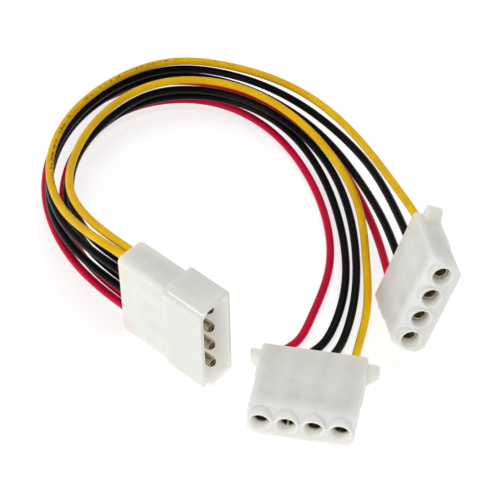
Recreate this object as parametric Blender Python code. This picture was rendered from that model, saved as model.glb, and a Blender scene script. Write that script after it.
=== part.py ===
"""Four wire drive power splitter: one pin connector, two socket plugs, eight wires.

Metres, Z up, floor at z = 0. The two plugs and the pin connector lie on the floor
and the wires run round in one loop behind them.
"""
import math

import bmesh
import bpy
import numpy as np
from mathutils import Euler, Matrix, Vector

MM = 0.001

# Shared sizes, in millimetres
PITCH = 5.08
WAYS = 4
GAP = 0.3
WIRE_OD = 1.7
WIRE_PAIR = 2.0
EDGE = 0.22

# Output plug
PLUG_LEN = 18.0
PLUG_W = 20.9
PLUG_T = 6.6
PLUG_NOSE = 9.0
PLUG_INSET_W = 0.2
PLUG_INSET_T = 0.15
PLUG_CHAMFER = 1.4
PLUG_FLAT_CHAMFER = 0.35
AXIS_Z = 3.7
EAR_OUT = 2.3
EAR_TIP = 0.9
EAR_LOW = 1.5
EAR_THICK = 3.4
EAR_SET = 0.15
SILO_R = 2.42
SILO_BACK = 3.0
SILO_PROUD = 0.12
SCALLOP_BACK = 2.1
SCALLOP_DEPTH = 2.25
BORE_R = 1.9
LEDGE_R = 1.75
REAR_R = 2.2
LEDGE_AT = 8.2
LEDGE_LEN = 0.9
OVERSHOOT = 1.0

# Socket terminal
SOCKET_R = 1.4
SOCKET_BORE_R = 1.12
SOCKET_LEN = 6.6
SOCKET_SLOT = 0.45
NECK_R = 0.75
CRIMP_R = 1.05
WIRE_IN = 3.0
WIRE_END_GAP = 0.5
PLUG_A_RECESS = 1.45
PLUG_B_RECESS = 2.0
LANCE_LEN = 1.4
LANCE_THICK = 0.6
LANCE_TIP = 0.35
BARREL_FLOOR = 0.5

# Pin connector
PIN_R = 1.05
MATE_CLEAR = 0.15
WALL_W = 0.85
WALL_T = 0.85
CAVITY_SPARE = 0.5
FLOOR_T = 1.5
INPUT_LEN = 22.4
SHROUD_OVER = 0.5
SHROUD_CHAMFER_T = 2.0
SHROUD_CHAMFER_W = 1.3
SHROUD_FLAT_CHAMFER = 0.5
BODY_INSET_W = 0.75
BODY_NEAR = 0.55
BODY_FAR = 1.05
BODY_REAR_CUT = 1.0
BODY_CHAMFER = 0.7
BODY_FLAT_CHAMFER = 0.4
CHAMBER_R = 2.2
PIN_RECESS = 1.3
COLLAR_R = 1.65
COLLAR_LEN = 0.7
COLLAR_RAMP = 0.4
CRIMP_LEN = 3.4
CRIMP_WALL = 0.65
CRIMP_RISE = 0.85
WIRE_LEAD = 2.0
PLUG_LEAD = 1.2

# Sizes that follow from the ones above
NOSE_W = PLUG_W - 2.0 * PLUG_INSET_W
NOSE_T = PLUG_T - 2.0 * PLUG_INSET_T
CAVITY_W = NOSE_W + 2.0 * MATE_CLEAR
CAVITY_T = NOSE_T + 2.0 * MATE_CLEAR
INPUT_W = CAVITY_W + 2.0 * WALL_W
INPUT_T = CAVITY_T + 2.0 * WALL_T
CAVITY_DEPTH = PLUG_NOSE + CAVITY_SPARE
SHROUD_LEN = CAVITY_DEPTH + SHROUD_OVER
PIN_Y = WALL_T + MATE_CLEAR + AXIS_Z - PLUG_INSET_T
SOCKET_WALL = SOCKET_R - SOCKET_BORE_R
ROWS = [PITCH * (i - (WAYS - 1) / 2.0) for i in range(WAYS)]

# Where each connector lies: position in millimetres, turn in degrees
INPUT_POS = (-33.1, 8.8, 0.68)
INPUT_TURN = (3.0, 2.0, -42.7)
PLUG_A_POS = (1.65, -19.0, 0.0)
PLUG_A_TURN = (0.0, 0.0, -11.2)
PLUG_B_POS = (29.6, 1.1, 13.9)
PLUG_B_TURN = (-22.6, -66.5, 28.4)

WIRE_STEP = 4.4

# Wire routes between the two exits, in millimetres
ROUTES = {
    "wire_b_yellow": [
        (-40.0, 21.2, 17.3), (-47.5, 36.5, 12.5), (-50.5, 52.0, 10.0), (-48.0, 68.0, 9.0),
        (-39.0, 82.5, 8.5), (-25.5, 90.5, 8.2), (-11.0, 87.9, 8.5), (3.0, 78.0, 9.6),
        (12.0, 64.5, 11.6), (18.0, 49.5, 14.3), (23.0, 33.0, 17.4),
    ],
    "wire_b_black_1": [
        (-40.5, 22.0, 12.7), (-48.0, 37.0, 9.5), (-50.7, 52.2, 7.8), (-48.0, 68.0, 6.7),
        (-39.0, 83.0, 6.1), (-25.5, 90.5, 6.0), (-11.0, 87.5, 6.3), (2.5, 76.7, 7.4),
        (11.5, 63.5, 9.0), (18.0, 49.0, 11.0), (22.3, 32.5, 13.2),
    ],
    "wire_b_black_2": [
        (-40.7, 22.3, 8.3), (-48.5, 37.2, 6.5), (-51.0, 52.7, 5.0), (-48.5, 69.0, 4.2),
        (-39.5, 83.7, 3.8), (-26.0, 91.0, 3.7), (-11.7, 87.7, 3.9), (1.7, 76.7, 4.4),
        (10.3, 63.5, 5.4), (16.3, 48.5, 6.8), (20.7, 32.0, 8.8),
    ],
    "wire_b_red": [
        (-41.0, 22.7, 4.0), (-49.0, 38.0, 3.2), (-52.3, 54.0, 2.6), (-50.3, 70.5, 2.0),
        (-41.3, 85.0, 1.6), (-27.3, 91.7, 1.5), (-12.3, 89.0, 1.5), (1.5, 78.0, 1.7),
        (10.5, 64.0, 2.2), (16.0, 48.5, 3.0), (19.5, 31.5, 4.4),
    ],
    "wire_a_yellow": [
        (-38.7, 22.9, 18.1), (-44.7, 37.5, 14.6), (-44.7, 53.5, 11.8), (-39.5, 69.0, 10.3),
        (-27.8, 80.4, 9.6), (-13.3, 80.8, 9.1), (-0.3, 72.3, 8.6), (9.8, 57.7, 7.7),
        (15.3, 42.7, 6.2), (16.5, 27.0, 4.2), (15.6, 11.5, 2.2), (13.7, 3.6, 1.7),
    ],
    "wire_a_black_1": [
        (-38.7, 23.3, 13.0), (-44.7, 38.2, 10.2), (-45.2, 53.7, 8.6), (-39.5, 69.0, 7.6),
        (-28.2, 80.4, 7.0), (-14.0, 80.5, 6.6), (-0.8, 72.0, 6.2), (9.0, 57.7, 5.4),
        (13.5, 42.0, 4.4), (14.5, 27.0, 3.2), (12.8, 12.6, 1.9), (10.2, 4.4, 1.5),
    ],
    "wire_a_black_2": [
        (-39.0, 23.7, 8.7), (-45.5, 38.7, 6.9), (-46.5, 54.2, 5.7), (-41.3, 69.7, 5.0),
        (-29.3, 80.7, 4.6), (-14.7, 81.5, 4.4), (-1.2, 73.0, 3.9), (7.3, 58.3, 3.2),
        (11.3, 42.5, 2.6), (12.4, 27.0, 2.0), (9.7, 11.5, 1.5), (6.6, 4.9, 1.4),
    ],
    "wire_a_red": [
        (-39.5, 24.0, 4.3), (-46.5, 39.5, 3.3), (-48.0, 55.2, 2.8), (-43.8, 70.5, 2.4),
        (-32.3, 82.0, 2.1), (-17.0, 83.5, 1.8), (-4.0, 74.7, 1.5), (4.7, 59.3, 1.2),
        (8.7, 44.0, 1.1), (9.0, 28.0, 1.1), (4.7, 12.6, 1.2), (1.8, 6.0, 1.4),
    ],
}

# Wire colours in row order, from the red end
COLOURS = ["red", "black_2", "black_1", "yellow"]

NYLON = ((0.80, 0.81, 0.76), 0.45, 0.0)
BRASS = ((0.74, 0.58, 0.30), 0.30, 1.0)
YELLOW = ((0.86, 0.55, 0.02), 0.40, 0.0)
BLACK = ((0.015, 0.015, 0.017), 0.38, 0.0)
RED = ((0.55, 0.006, 0.05), 0.38, 0.0)


def clear_scene():
    for obj in list(bpy.data.objects):
        bpy.data.objects.remove(obj, do_unlink=True)


def give_material(obj, look):
    colour, rough, metal = look
    mat = bpy.data.materials.new(obj.name + "_mat")
    mat.use_nodes = True
    shader = mat.node_tree.nodes["Principled BSDF"]
    shader.inputs["Base Color"].default_value = (*colour, 1.0)
    shader.inputs["Roughness"].default_value = rough
    shader.inputs["Metallic"].default_value = metal
    mat.diffuse_color = (*colour, 1.0)
    obj.data.materials.clear()
    obj.data.materials.append(mat)


def new_object(name, bm):
    bmesh.ops.recalc_face_normals(bm, faces=bm.faces)
    mesh = bpy.data.meshes.new(name)
    bm.to_mesh(mesh)
    bm.free()
    obj = bpy.data.objects.new(name, mesh)
    bpy.context.scene.collection.objects.link(obj)
    return obj


def prism(points, axis, low, high):
    """Closed prism over a flat outline. axis is the direction it runs along."""
    bm = bmesh.new()
    ends = []
    for level in (low, high):
        ring = []
        for u, v in points:
            if axis == "X":
                co = (level, u, v)
            elif axis == "Y":
                co = (u, level, v)
            else:
                co = (u, v, level)
            ring.append(bm.verts.new([c * MM for c in co]))
        ends.append(ring)
    count = len(points)
    bm.faces.new(ends[0])
    bm.faces.new(ends[1])
    for i in range(count):
        j = (i + 1) % count
        bm.faces.new((ends[0][i], ends[0][j], ends[1][j], ends[1][i]))
    return bm


def lathe(profile, centre, axis, sides):
    """Closed solid of revolution. profile is (along, radius) from one end to the other."""
    bm = bmesh.new()
    rings = []
    for along, radius in profile:
        if radius < 1e-6:
            ring = [bm.verts.new(place(along, 0.0, 0.0, centre, axis))]
        else:
            ring = []
            for k in range(sides):
                a = 2.0 * math.pi * (k + 0.5) / sides
                ring.append(bm.verts.new(place(along, radius * math.cos(a), radius * math.sin(a), centre, axis)))
        rings.append(ring)
    for first, second in zip(rings, rings[1:]):
        for k in range(sides):
            n = (k + 1) % sides
            if len(first) == 1 and len(second) == 1:
                continue
            if len(first) == 1:
                bm.faces.new((first[0], second[k], second[n]))
            elif len(second) == 1:
                bm.faces.new((first[k], second[0], first[n]))
            else:
                bm.faces.new((first[k], second[k], second[n], first[n]))
    if len(rings[0]) > 1:
        bm.faces.new(rings[0])
    if len(rings[-1]) > 1:
        bm.faces.new(rings[-1])
    return bm


def place(along, a, b, centre, axis):
    if axis == "X":
        co = (along, centre[0] + a, centre[1] + b)
    else:
        co = (centre[0] + a, along, centre[1] + b)
    return [c * MM for c in co]


def join(parts):
    """Several closed bodies that do not touch, in one mesh."""
    whole = bmesh.new()
    for bm in parts:
        bmesh.ops.recalc_face_normals(bm, faces=bm.faces)
        mesh = bpy.data.meshes.new("temp")
        bm.to_mesh(mesh)
        bm.free()
        whole.from_mesh(mesh)
        bpy.data.meshes.remove(mesh)
    return whole


def soften(obj, width):
    mod = obj.modifiers.new("soft_edges", "BEVEL")
    mod.width = width * MM
    mod.segments = 1
    mod.limit_method = "ANGLE"
    mod.angle_limit = math.radians(30.0)
    bake(obj)


def combine(obj, tool, operation):
    tool.hide_render = True
    tool.display_type = "WIRE"
    mod = obj.modifiers.new(operation.lower(), "BOOLEAN")
    mod.operation = operation
    mod.solver = "EXACT"
    mod.object = tool
    bake(obj)
    bpy.data.objects.remove(tool, do_unlink=True)


def bake(obj):
    """Turn the result of the modifiers into the object's own mesh."""
    bpy.context.view_layer.update()
    graph = bpy.context.evaluated_depsgraph_get()
    mesh = bpy.data.meshes.new_from_object(obj.evaluated_get(graph))
    old = obj.data
    obj.modifiers.clear()
    obj.data = mesh
    bpy.data.meshes.remove(old)
    mesh.name = obj.name


def tidy(obj, angle=32.0):
    bm = bmesh.new()
    bm.from_mesh(obj.data)
    bmesh.ops.remove_doubles(bm, verts=bm.verts, dist=0.00001)
    bmesh.ops.dissolve_limit(
        bm, angle_limit=math.radians(0.5), use_dissolve_boundaries=False, verts=bm.verts, edges=bm.edges
    )
    bmesh.ops.triangulate(bm, faces=[f for f in bm.faces if len(f.verts) > 4])
    bmesh.ops.recalc_face_normals(bm, faces=bm.faces)
    bm.to_mesh(obj.data)
    bm.free()
    obj.data.shade_smooth()
    obj.data.set_sharp_from_angle(angle=math.radians(angle))


def d_outline(width, thick, cut_w, cut_t, flat_cut, low=0.0):
    """Outline across a connector: width, then thickness, with the cut corners on the low side."""
    h = width / 2.0
    top = low + thick
    return [
        (-h + cut_w, low),
        (h - cut_w, low),
        (h, low + cut_t),
        (h, top - flat_cut),
        (h - flat_cut, top),
        (-h + flat_cut, top),
        (-h, top - flat_cut),
        (-h, low + cut_t),
    ]


def pose(obj, position, turn):
    obj.location = [c * MM for c in position]
    obj.rotation_euler = [math.radians(a) for a in turn]


def pose_matrix(position, turn):
    place_at = Matrix.Translation([c * MM for c in position])
    return place_at @ Euler([math.radians(a) for a in turn], "XYZ").to_matrix().to_4x4()


def plug_ear(side):
    root = PLUG_W / 2.0 - OVERSHOOT
    base = PLUG_W / 2.0
    tip = base + EAR_OUT
    rear = PLUG_LEN - EAR_SET
    outline = [
        (side * root, rear),
        (side * tip, rear),
        (side * tip, PLUG_LEN - EAR_TIP),
        (side * base, PLUG_LEN - EAR_TIP - EAR_OUT),
        (side * root, PLUG_LEN - EAR_TIP - EAR_OUT - OVERSHOOT),
    ]
    return prism(outline, "Z", EAR_LOW, EAR_LOW + EAR_THICK)


def plug_bore(x):
    profile = [
        (-OVERSHOOT, BORE_R + 0.2),
        (0.0, BORE_R + 0.2),
        (0.25, BORE_R),
        (LEDGE_AT, BORE_R),
        (LEDGE_AT, LEDGE_R),
        (LEDGE_AT + LEDGE_LEN, LEDGE_R),
        (LEDGE_AT + LEDGE_LEN, REAR_R),
        (PLUG_LEN + OVERSHOOT, REAR_R),
    ]
    return lathe(profile, (x, AXIS_Z), "Y", 16)


def make_plug_housing(name, position, turn):
    body_outline = d_outline(PLUG_W, PLUG_T, PLUG_CHAMFER, PLUG_CHAMFER, PLUG_FLAT_CHAMFER)
    body = new_object(name, prism(body_outline, "Y", PLUG_NOSE, PLUG_LEN))
    soften(body, EDGE)
    ears = new_object("ears", join([plug_ear(-1.0), plug_ear(1.0)]))
    soften(ears, EDGE)
    combine(body, ears, "UNION")

    nose_outline = d_outline(NOSE_W, NOSE_T, PLUG_CHAMFER, PLUG_CHAMFER, PLUG_FLAT_CHAMFER, PLUG_INSET_T)
    nose = new_object("nose", prism(nose_outline, "Y", SILO_PROUD, PLUG_NOSE + OVERSHOOT))
    top = PLUG_INSET_T + NOSE_T
    scallop = [
        (SILO_PROUD - OVERSHOOT, top - SCALLOP_DEPTH - OVERSHOOT * SCALLOP_DEPTH / SCALLOP_BACK),
        (SILO_PROUD + SCALLOP_BACK, top),
        (SILO_PROUD + SCALLOP_BACK, top + OVERSHOOT),
        (SILO_PROUD - OVERSHOOT, top + OVERSHOOT),
    ]
    wedge = new_object("wedge", prism(scallop, "X", -PLUG_W, PLUG_W))
    combine(nose, wedge, "DIFFERENCE")
    for x in ROWS:
        silo = lathe([(0.0, SILO_R - 0.15), (0.15, SILO_R), (SILO_BACK, SILO_R)], (x, AXIS_Z), "Y", 24)
        combine(nose, new_object("silo", silo), "UNION")
    combine(body, nose, "UNION")
    combine(body, new_object("bores", join([plug_bore(x) for x in ROWS])), "DIFFERENCE")
    tidy(body)
    pose(body, position, turn)
    give_material(body, NYLON)
    return body


def make_socket(name, x, recess, position, turn, seam_below=False):
    end = PLUG_LEN - WIRE_IN - WIRE_END_GAP
    barrel_end = recess + SOCKET_LEN
    slide = recess - min(PLUG_A_RECESS, PLUG_B_RECESS)
    lance_at = LEDGE_AT + LEDGE_LEN + GAP + slide
    neck_end = lance_at + LANCE_LEN + SOCKET_WALL
    profile = [
        (barrel_end - BARREL_FLOOR, 0.0),
        (barrel_end - BARREL_FLOOR, SOCKET_BORE_R),
        (recess + SOCKET_WALL / 2.0, SOCKET_BORE_R),
        (recess, SOCKET_BORE_R + SOCKET_WALL * 0.4),
        (recess, SOCKET_R - SOCKET_WALL * 0.3),
        (recess + SOCKET_WALL, SOCKET_R),
        (barrel_end, SOCKET_R),
        (barrel_end + SOCKET_WALL, NECK_R),
        (neck_end, NECK_R),
        (neck_end + BARREL_FLOOR, CRIMP_R),
        (end - 0.2, CRIMP_R),
        (end, CRIMP_R - 0.15),
        (end, 0.0),
    ]
    socket = new_object(name, lathe(profile, (x, AXIS_Z), "Y", 14))
    half = SOCKET_SLOT / 2.0
    slot_end = barrel_end - 2.6 * BARREL_FLOOR
    slot_outline = [
        (x - half, recess - OVERSHOOT),
        (x + half, recess - OVERSHOOT),
        (x + half, slot_end),
        (x - half, slot_end),
    ]
    far = SOCKET_R + OVERSHOOT
    bottom = AXIS_Z - far if seam_below else AXIS_Z
    slot = new_object("slot", prism(slot_outline, "Z", bottom, bottom + far))
    combine(socket, slot, "DIFFERENCE")
    reach = REAR_R - GAP - 0.08
    root = NECK_R * 0.4
    low = AXIS_Z - LANCE_THICK / 2.0
    for side in (-1.0, 1.0):
        fin = [
            (x + side * root, lance_at),
            (x + side * reach, lance_at),
            (x + side * reach, lance_at + LANCE_TIP),
            (x + side * NECK_R * 0.8, lance_at + LANCE_LEN),
            (x + side * root, lance_at + LANCE_LEN),
        ]
        combine(socket, new_object("lance", prism(fin, "Z", low, low + LANCE_THICK)), "UNION")
    tidy(socket)
    pose(socket, position, turn)
    give_material(socket, BRASS)
    return socket


def input_outline(width, thick, cut_w, cut_t, flat_cut, low):
    """The same outline stood on its narrow edge: thickness along Y, width along Z."""
    return [(v, u + INPUT_W / 2.0) for u, v in d_outline(width, thick, cut_w, cut_t, flat_cut, low)]


def input_bore(z):
    sides = 16
    floor = INPUT_LEN - CAVITY_DEPTH
    hole = (PIN_R + GAP) / math.cos(math.pi / sides)
    profile = [
        (-OVERSHOOT, CHAMBER_R),
        (floor - FLOOR_T, CHAMBER_R),
        (floor - FLOOR_T, hole),
        (floor + OVERSHOOT, hole),
    ]
    return lathe(profile, (PIN_Y, z), "X", sides)


def make_input_housing():
    width = INPUT_W - 2.0 * BODY_INSET_W
    thick = INPUT_T - BODY_NEAR - BODY_FAR
    low = BODY_NEAR
    body_outline = input_outline(width, thick, BODY_CHAMFER, BODY_CHAMFER, BODY_FLAT_CHAMFER, low)
    joint = INPUT_LEN - SHROUD_LEN
    body = new_object("input_housing", prism(body_outline, "X", 0.0, joint + SHROUD_OVER / 2.0))
    far = low + thick
    cut = [
        (-0.1, far - BODY_REAR_CUT - 0.1),
        (BODY_REAR_CUT + 0.1, far + 0.1),
        (-0.1, far + 0.1),
    ]
    combine(body, new_object("rear_cut", prism(cut, "Z", -OVERSHOOT, INPUT_W + OVERSHOOT)), "DIFFERENCE")
    soften(body, EDGE)

    shroud_outline = input_outline(INPUT_W, INPUT_T, SHROUD_CHAMFER_W, SHROUD_CHAMFER_T, SHROUD_FLAT_CHAMFER, 0.0)
    shroud = new_object("shroud", prism(shroud_outline, "X", joint, INPUT_LEN))
    soften(shroud, EDGE)
    combine(body, shroud, "UNION")

    floor = INPUT_LEN - CAVITY_DEPTH
    cavity_outline = input_outline(CAVITY_W, CAVITY_T, PLUG_CHAMFER, PLUG_CHAMFER, PLUG_FLAT_CHAMFER, WALL_T)
    cavity = new_object("cavity", prism(cavity_outline, "X", floor, INPUT_LEN + OVERSHOOT))
    combine(body, cavity, "DIFFERENCE")
    bores = [input_bore(INPUT_W / 2.0 + z) for z in ROWS]
    combine(body, new_object("bores", join(bores)), "DIFFERENCE")
    tidy(body)
    pose(body, INPUT_POS, INPUT_TURN)
    give_material(body, NYLON)
    return body


def make_pin(name, row):
    z = INPUT_W / 2.0 + row
    tip = INPUT_LEN - PIN_RECESS
    stop = INPUT_LEN - CAVITY_DEPTH - FLOOR_T - GAP
    profile = [
        (WIRE_IN + GAP + CRIMP_LEN - COLLAR_RAMP, 0.0),
        (WIRE_IN + GAP + CRIMP_LEN - COLLAR_RAMP, NECK_R),
        (stop - COLLAR_LEN - COLLAR_RAMP, NECK_R),
        (stop - COLLAR_LEN, COLLAR_R),
        (stop, COLLAR_R),
        (stop, PIN_R),
        (tip - PIN_R * 0.85, PIN_R),
        (tip - PIN_R * 0.33, PIN_R * 0.83),
        (tip, PIN_R * 0.52),
        (tip, PIN_R * 0.33),
        (tip - PIN_R * 0.75, PIN_R * 0.33),
        (tip - PIN_R * 0.75, 0.0),
    ]
    pin = new_object(name, lathe(profile, (PIN_Y, z), "X", 14))
    reach = WIRE_PAIR / 2.0 + CRIMP_WALL
    rise = CRIMP_RISE
    crimp_outline = [
        (PIN_Y - reach, z - 0.45),
        (PIN_Y - reach + 0.4, z - rise),
        (PIN_Y + reach - 0.4, z - rise),
        (PIN_Y + reach, z - 0.45),
        (PIN_Y + reach, z + 0.45),
        (PIN_Y + reach - 0.4, z + rise),
        (PIN_Y, z + rise - 0.3),
        (PIN_Y - reach + 0.4, z + rise),
        (PIN_Y - reach, z + 0.45),
    ]
    crimp = new_object("crimp", prism(crimp_outline, "X", WIRE_IN + GAP, WIRE_IN + GAP + CRIMP_LEN))
    combine(pin, crimp, "UNION")
    tidy(pin)
    pose(pin, INPUT_POS, INPUT_TURN)
    give_material(pin, BRASS)
    return pin


def smooth_path(points, step):
    """Even points on a natural cubic curve through the route."""
    pts = np.array(points)
    seg = np.linalg.norm(np.diff(pts, axis=0), axis=1)
    t = np.concatenate([[0.0], np.cumsum(seg)])
    n = len(t)
    mat = np.eye(n)
    rhs = np.zeros((n, 3))
    for i in range(1, n - 1):
        h0 = t[i] - t[i - 1]
        h1 = t[i + 1] - t[i]
        mat[i, i - 1] = h0
        mat[i, i] = 2.0 * (h0 + h1)
        mat[i, i + 1] = h1
        rhs[i] = 6.0 * ((pts[i + 1] - pts[i]) / h1 - (pts[i] - pts[i - 1]) / h0)
    curve = np.linalg.solve(mat, rhs)
    fine = []
    for s in np.linspace(0.0, t[-1], 1600):
        i = min(int(np.searchsorted(t, s, side="right")) - 1, n - 2)
        h = t[i + 1] - t[i]
        a = (t[i + 1] - s) / h
        b = (s - t[i]) / h
        bend = ((a ** 3 - a) * curve[i] + (b ** 3 - b) * curve[i + 1]) * h * h / 6.0
        fine.append(a * pts[i] + b * pts[i + 1] + bend)
    fine = np.array(fine)
    run = np.concatenate([[0.0], np.cumsum(np.linalg.norm(np.diff(fine, axis=0), axis=1))])
    count = max(int(round(run[-1] / step)), 4) + 1
    marks = np.linspace(0.0, run[-1], count)
    return np.column_stack([np.interp(marks, run, fine[:, k]) for k in range(3)])


def wire_ends(name):
    """Start and end leads of a wire, in millimetres, from the connector sizes."""
    plug = name.split("_")[1]
    row = ROWS[COLOURS.index(name.split("_", 2)[2])]
    side = -1.0 if plug == "b" else 1.0
    y = PIN_Y + side * WIRE_PAIR / 2.0
    z = INPUT_W / 2.0 + row
    at_input = pose_matrix(INPUT_POS, INPUT_TURN)
    start = [at_input @ (Vector((x, y, z)) * MM) for x in (WIRE_IN, WIRE_LEAD * 0.3, -WIRE_LEAD)]
    if plug == "a":
        at_plug = pose_matrix(PLUG_A_POS, PLUG_A_TURN)
    else:
        at_plug = pose_matrix(PLUG_B_POS, PLUG_B_TURN)
    leads = (PLUG_LEN - WIRE_IN + PLUG_LEAD, PLUG_LEN - WIRE_IN)
    end = [at_plug @ (Vector((row, v, AXIS_Z)) * MM) for v in leads]
    return [p / MM for p in start], [p / MM for p in end]


def make_wire(name, look):
    start, end = wire_ends(name)
    points = smooth_path([tuple(p) for p in start] + ROUTES[name] + [tuple(p) for p in end], WIRE_STEP)
    curve = bpy.data.curves.new(name, "CURVE")
    curve.dimensions = "3D"
    curve.bevel_depth = WIRE_OD / 2.0 * MM
    curve.bevel_resolution = 2
    curve.use_fill_caps = True
    spline = curve.splines.new("POLY")
    spline.points.add(len(points) - 1)
    for spot, co in zip(spline.points, points):
        spot.co = (co[0] * MM, co[1] * MM, co[2] * MM, 1.0)
    obj = bpy.data.objects.new(name, curve)
    bpy.context.scene.collection.objects.link(obj)
    give_material(obj, look)
    return obj


def build():
    clear_scene()
    make_input_housing()
    for colour, row in zip(COLOURS, ROWS):
        make_pin("input_pin_" + colour, row)
    plugs = (("plug_a", PLUG_A_POS, PLUG_A_TURN, PLUG_A_RECESS), ("plug_b", PLUG_B_POS, PLUG_B_TURN, PLUG_B_RECESS))
    for plug, position, turn, recess in plugs:
        make_plug_housing(plug + "_housing", position, turn)
        for colour, row in zip(COLOURS, ROWS):
            rolled_over = plug == "plug_a" and colour == "black_2"
            make_socket(plug + "_socket_" + colour, row, recess, position, turn, rolled_over)
    looks = {"yellow": YELLOW, "black_1": BLACK, "black_2": BLACK, "red": RED}
    for plug in ("a", "b"):
        for colour in COLOURS:
            make_wire("wire_" + plug + "_" + colour, looks[colour])


build()
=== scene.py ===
"""Looks of the drive power splitter: camera, wires, connectors, terminals, finishes and light.

Metres, Z up, floor at z = 0. The sizes of the connectors and terminals are in millimetres,
and those that the part's source has too are the same there. Ramps, rims and seams are finer
here than in the part.
"""
import math

import bmesh
import bpy
import numpy as np
from mathutils import Euler, Matrix, Vector

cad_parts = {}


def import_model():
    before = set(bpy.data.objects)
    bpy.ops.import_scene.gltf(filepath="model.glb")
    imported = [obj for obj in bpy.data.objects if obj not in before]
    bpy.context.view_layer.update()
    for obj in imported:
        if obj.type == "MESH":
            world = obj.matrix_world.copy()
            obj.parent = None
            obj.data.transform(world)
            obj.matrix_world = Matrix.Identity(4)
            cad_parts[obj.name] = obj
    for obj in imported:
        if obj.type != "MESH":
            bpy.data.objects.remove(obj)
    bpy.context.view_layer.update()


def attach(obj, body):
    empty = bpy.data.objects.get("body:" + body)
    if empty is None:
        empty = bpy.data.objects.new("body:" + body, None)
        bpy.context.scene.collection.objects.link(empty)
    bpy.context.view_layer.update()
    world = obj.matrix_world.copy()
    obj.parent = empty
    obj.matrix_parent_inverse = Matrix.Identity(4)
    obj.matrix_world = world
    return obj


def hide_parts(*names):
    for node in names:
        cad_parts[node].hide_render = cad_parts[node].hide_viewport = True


MM = 0.001

# Shared sizes, in millimetres
PITCH = 5.08
WAYS = 4
GAP = 0.3
WIRE_OD = 1.7
WIRE_PAIR = 2.0
EDGE = 0.22

# Socket plug
PLUG_LEN = 18.0
PLUG_W = 20.9
PLUG_T = 6.6
PLUG_NOSE = 9.0
PLUG_INSET_W = 0.2
PLUG_INSET_T = 0.15
PLUG_CHAMFER = 1.4
PLUG_FLAT_CHAMFER = 0.35
AXIS_Z = 3.7
EAR_OUT = 2.3
EAR_TIP = 0.9
EAR_LOW = 1.5
EAR_THICK = 3.4
EAR_SET = 0.15
SILO_R = 2.42
SILO_BACK = 3.0
SILO_PROUD = 0.12
SCALLOP_BACK = 2.1
SCALLOP_DEPTH = 2.25
STEP_RAMP = 0.9
BORE_R = 1.9
LEDGE_R = 1.75
REAR_R = 2.2
LEDGE_AT = 8.2
LEDGE_LEN = 0.9
OVERSHOOT = 1.0

# Terminals
SOCKET_R = 1.4
SOCKET_BORE_R = 1.12
SOCKET_LEN = 6.6
SOCKET_SLOT = 0.45
NECK_R = 0.75
CRIMP_R = 1.05
WIRE_IN = 3.0
WIRE_END_GAP = 0.5
PLUG_A_RECESS = 1.45
PLUG_B_RECESS = 2.0
LANCE_LEN = 1.4
LANCE_THICK = 0.6
LANCE_TIP = 0.35
BARREL_FLOOR = 0.5
PIN_R = 1.05
PIN_RECESS = 1.3
COLLAR_R = 1.65
COLLAR_LEN = 0.7
COLLAR_RAMP = 0.4
CRIMP_LEN = 3.4
CRIMP_WALL = 0.65
CRIMP_RISE = 0.85
CRIMP_SHOULDER = 0.45
CRIMP_CORNER = 0.4
CRIMP_CURL = 0.3
CRIMP_EDGE = 0.08
WIRE_LEAD = 2.0
WIRE_LEAD_NEAR = 0.6
PLUG_LEAD = 1.2
SOCKET_SEAM_SHORT = 1.3
LANCE_PLAY = 0.08
LANCE_ROOT = 0.3
LANCE_FOOT = 0.6
PIN_SEAM = 0.14
PIN_SEAM_DEPTH = 0.14
PIN_SEAM_START = 0.4
TIP_HOLE_R = 0.32
TIP_HOLE_END_R = 0.3
TIP_HOLE_DEPTH = 0.9

# Pin connector
MATE_CLEAR = 0.15
WALL_W = 0.85
WALL_T = 0.85
CAVITY_SPARE = 0.5
FLOOR_T = 1.5
INPUT_LEN = 22.4
SHROUD_OVER = 0.5
SHROUD_CHAMFER_T = 2.0
SHROUD_CHAMFER_W = 1.3
SHROUD_FLAT_CHAMFER = 0.5
BODY_INSET_W = 0.75
BODY_NEAR = 0.55
BODY_FAR = 1.05
BODY_REAR_CUT = 1.0
BODY_CHAMFER = 0.7
BODY_FLAT_CHAMFER = 0.4
CHAMBER_R = 2.2
CUT_OVER = 0.1
SOFT_EDGE = 0.36
CAVITY_EDGE = 0.12

# Rounded lips, rims and tips: steps along the axis and across it
BORE_LIP = [(-0.01, 0.12), (0.03, 0.06), (0.09, 0.02), (0.16, 0.0)]
REAR_LIP = [(-0.4, 0.0), (-0.1, 0.08), (0.02, 0.2)]
SILO_RIM = [(0.0, 0.1), (0.03, 0.03), (0.1, 0.0)]
CHAMBER_LIP = [(-0.02, 0.18), (0.1, 0.06), (0.35, 0.0)]
FLOOR_LIP = [(-0.15, 0.0), (0.02, 0.15)]
SOCKET_RIM_IN = [(0.22, 0.0), (0.08, 0.04), (0.0, 0.1)]
SOCKET_RIM_OUT = [(0.0, 0.1), (0.08, 0.03), (0.25, 0.0)]
BARREL_BACK = [(-0.6, 0.0), (0.0, 0.05)]
CRIMP_BACK = [(-0.2, 0.0), (0.0, 0.15)]
PIN_TIP = [(-0.95, 0.0), (-0.6, 0.07), (-0.3, 0.2), (-0.08, 0.42), (0.0, 0.55)]

# Meshing: turned steps, welds in millimetres, angles in degrees
HOLE_STEPS = 48
TERMINAL_STEPS = 40
POLE_WELD = 0.0001
MESH_WELD = 0.002
FLAT_ANGLE = 0.4
SHARP_ANGLE = 25.0
SMOOTH_ANGLE = 34.0

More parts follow.
